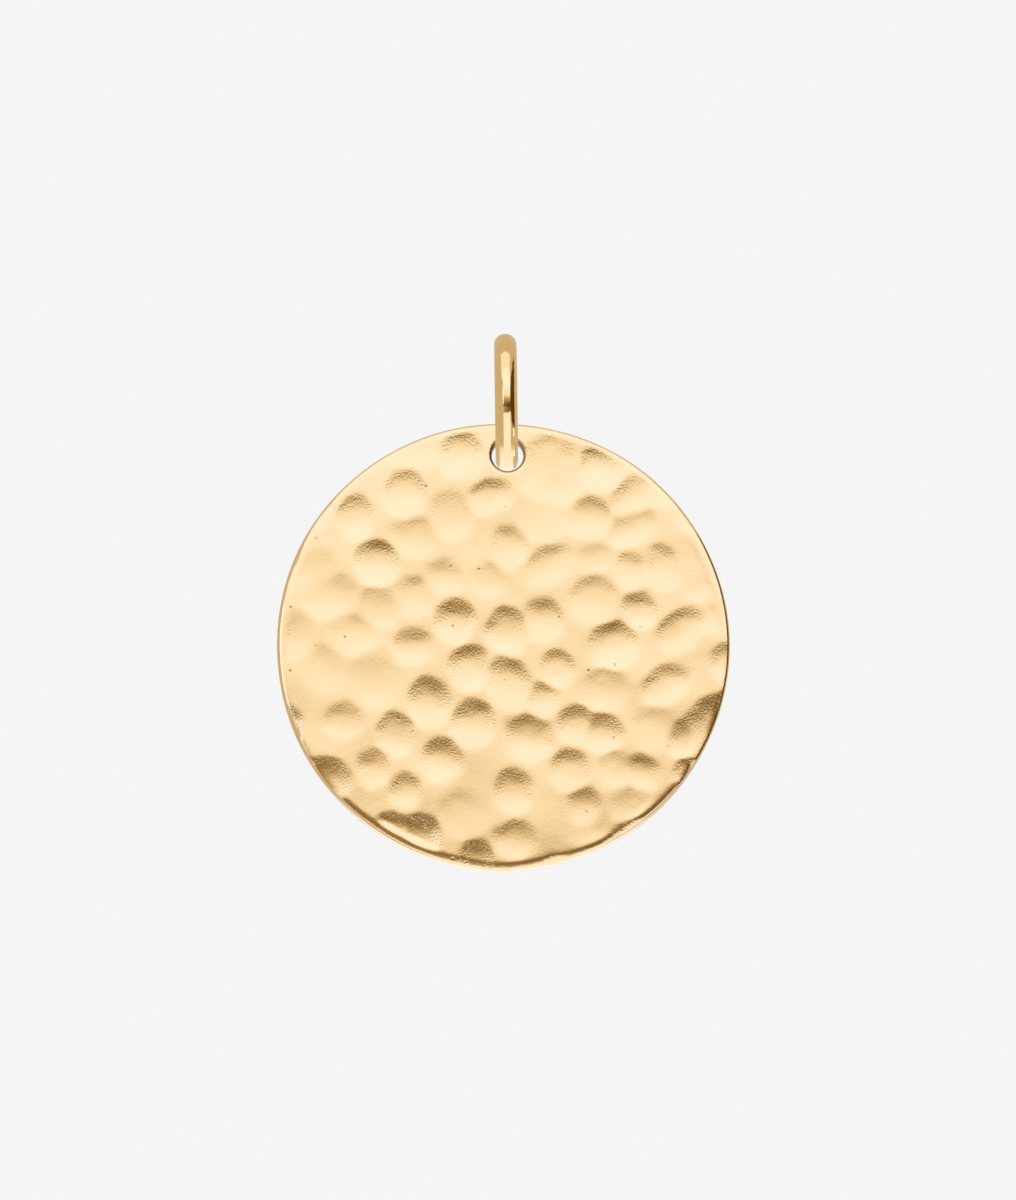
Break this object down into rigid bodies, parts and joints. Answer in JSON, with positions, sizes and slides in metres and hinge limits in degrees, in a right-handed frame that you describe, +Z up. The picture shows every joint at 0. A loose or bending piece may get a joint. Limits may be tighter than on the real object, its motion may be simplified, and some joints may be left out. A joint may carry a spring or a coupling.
{
  "type": "hammered medallion pendant",
  "caption": "Round gold-coloured metal disc with a hammered front and a pierced hole, hanging from a plain round-wire jump ring.",
  "frame": {"origin": "inner top of the jump ring, where a chain or cord bears", "axes": "+Z up, -Y out of the disc's hammered front, +X to the right seen from the front"},
  "size_m": [0.02, 0.006, 0.0241],
  "materials": {
    "disc_gold": "satin gold plate over hammered brass",
    "ring_gold": "polished gold plate"
  },
  "bodies": {
    "jump_ring": {"jump_ring": "ring_gold"},
    "medallion": {"medallion": "disc_gold"}
  },
  "joints": [
    {"name": "medallion_swing", "type": "hinge", "parent": "jump_ring", "child": "medallion", "pos_m": [0, 0, -0.00445], "axis": [0, 1, 0], "range_deg": [-75, 75]}
  ]
}
